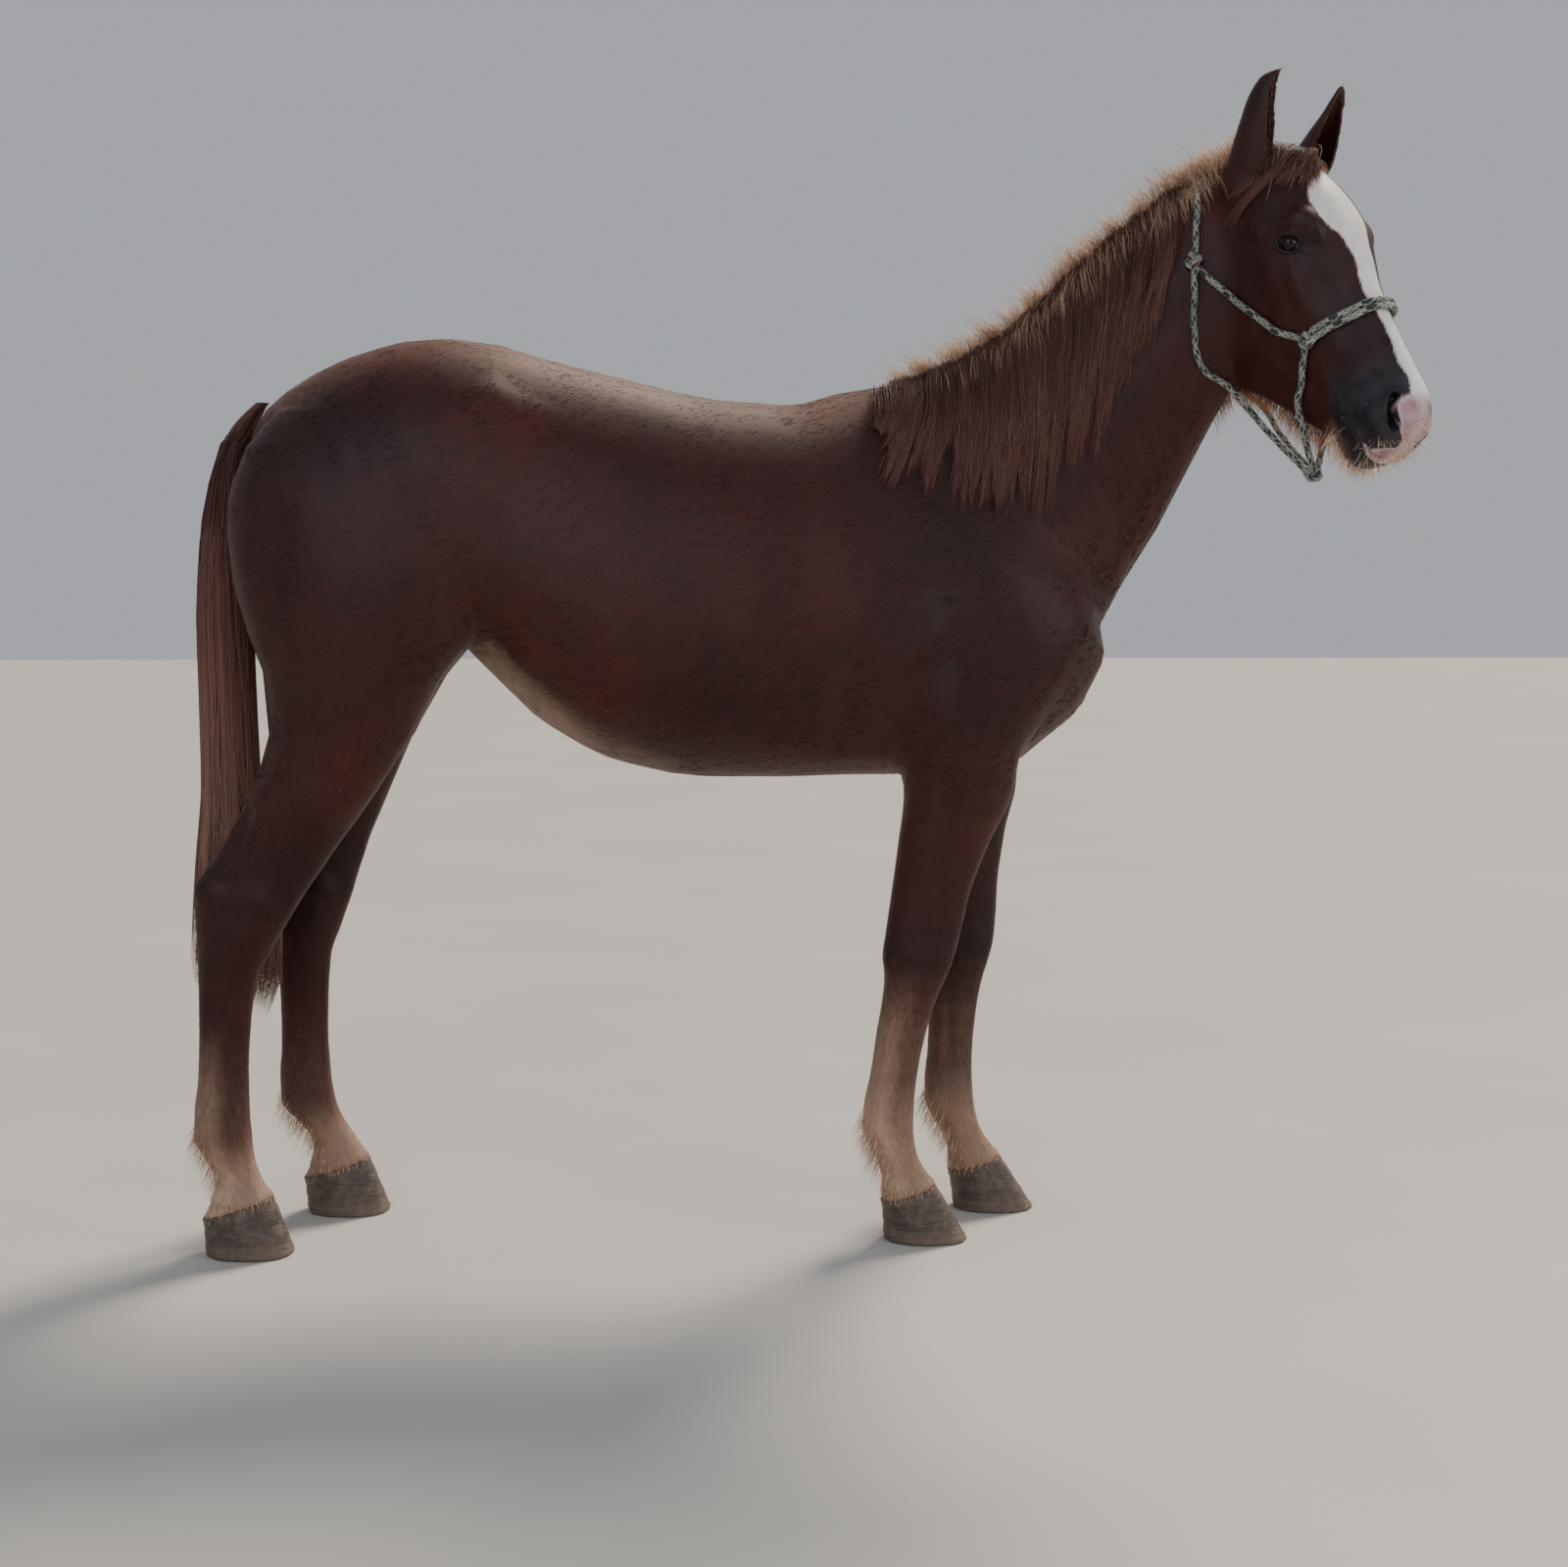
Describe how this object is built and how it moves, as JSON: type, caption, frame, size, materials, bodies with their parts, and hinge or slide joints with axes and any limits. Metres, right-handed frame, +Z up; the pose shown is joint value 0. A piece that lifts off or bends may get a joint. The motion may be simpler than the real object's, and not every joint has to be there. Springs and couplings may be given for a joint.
{
  "type": "horse",
  "caption": "Young chestnut horse standing square, head turned to its right, in a knotted rope halter; still life-size model.",
  "frame": {"origin": "on the floor, under the middle of the whole model's bounding box", "axes": "+X the way the body faces, from tail to breast; +Y the horse's left side; +Z up"},
  "size_m": [1.945, 0.621, 1.8604],
  "materials": {
    "coat": "short glossy dark chestnut hair with pale lower legs and a white blaze",
    "long_hair": "coarse light brown mane, forelock and tail hair",
    "hoof_horn": "dusty grey brown horn",
    "eye": "dark wet eye",
    "halter_rope": "braided pale grey cord with dark green flecks"
  },
  "bodies": {
    "root": {"trunk": "coat", "neck": "coat", "head": "coat", "leg_hind_right": "coat", "leg_hind_left": "coat", "leg_fore_right": "coat", "leg_fore_left": "coat", "ear_right": "coat", "ear_left": "coat", "hoof_hind_right": "hoof_horn", "hoof_hind_left": "hoof_horn", "hoof_fore_right": "hoof_horn", "hoof_fore_left": "hoof_horn", "eye_right": "eye", "eye_left": "eye", "tail": "long_hair", "mane": "long_hair", "forelock": "long_hair", "halter_crown": "halter_rope", "halter_noseband": "halter_rope", "halter_cheek_right": "halter_rope", "halter_cheek_left": "halter_rope", "halter_throat_right": "halter_rope", "halter_throat_left": "halter_rope", "halter_chin_right": "halter_rope", "halter_chin_left": "halter_rope", "halter_knot_cheek_right": "halter_rope", "halter_knot_cheek_left": "halter_rope", "halter_knot_nose_right": "halter_rope", "halter_knot_nose_left": "halter_rope", "halter_knot_chin": "halter_rope"}
  },
  "joints": []
}
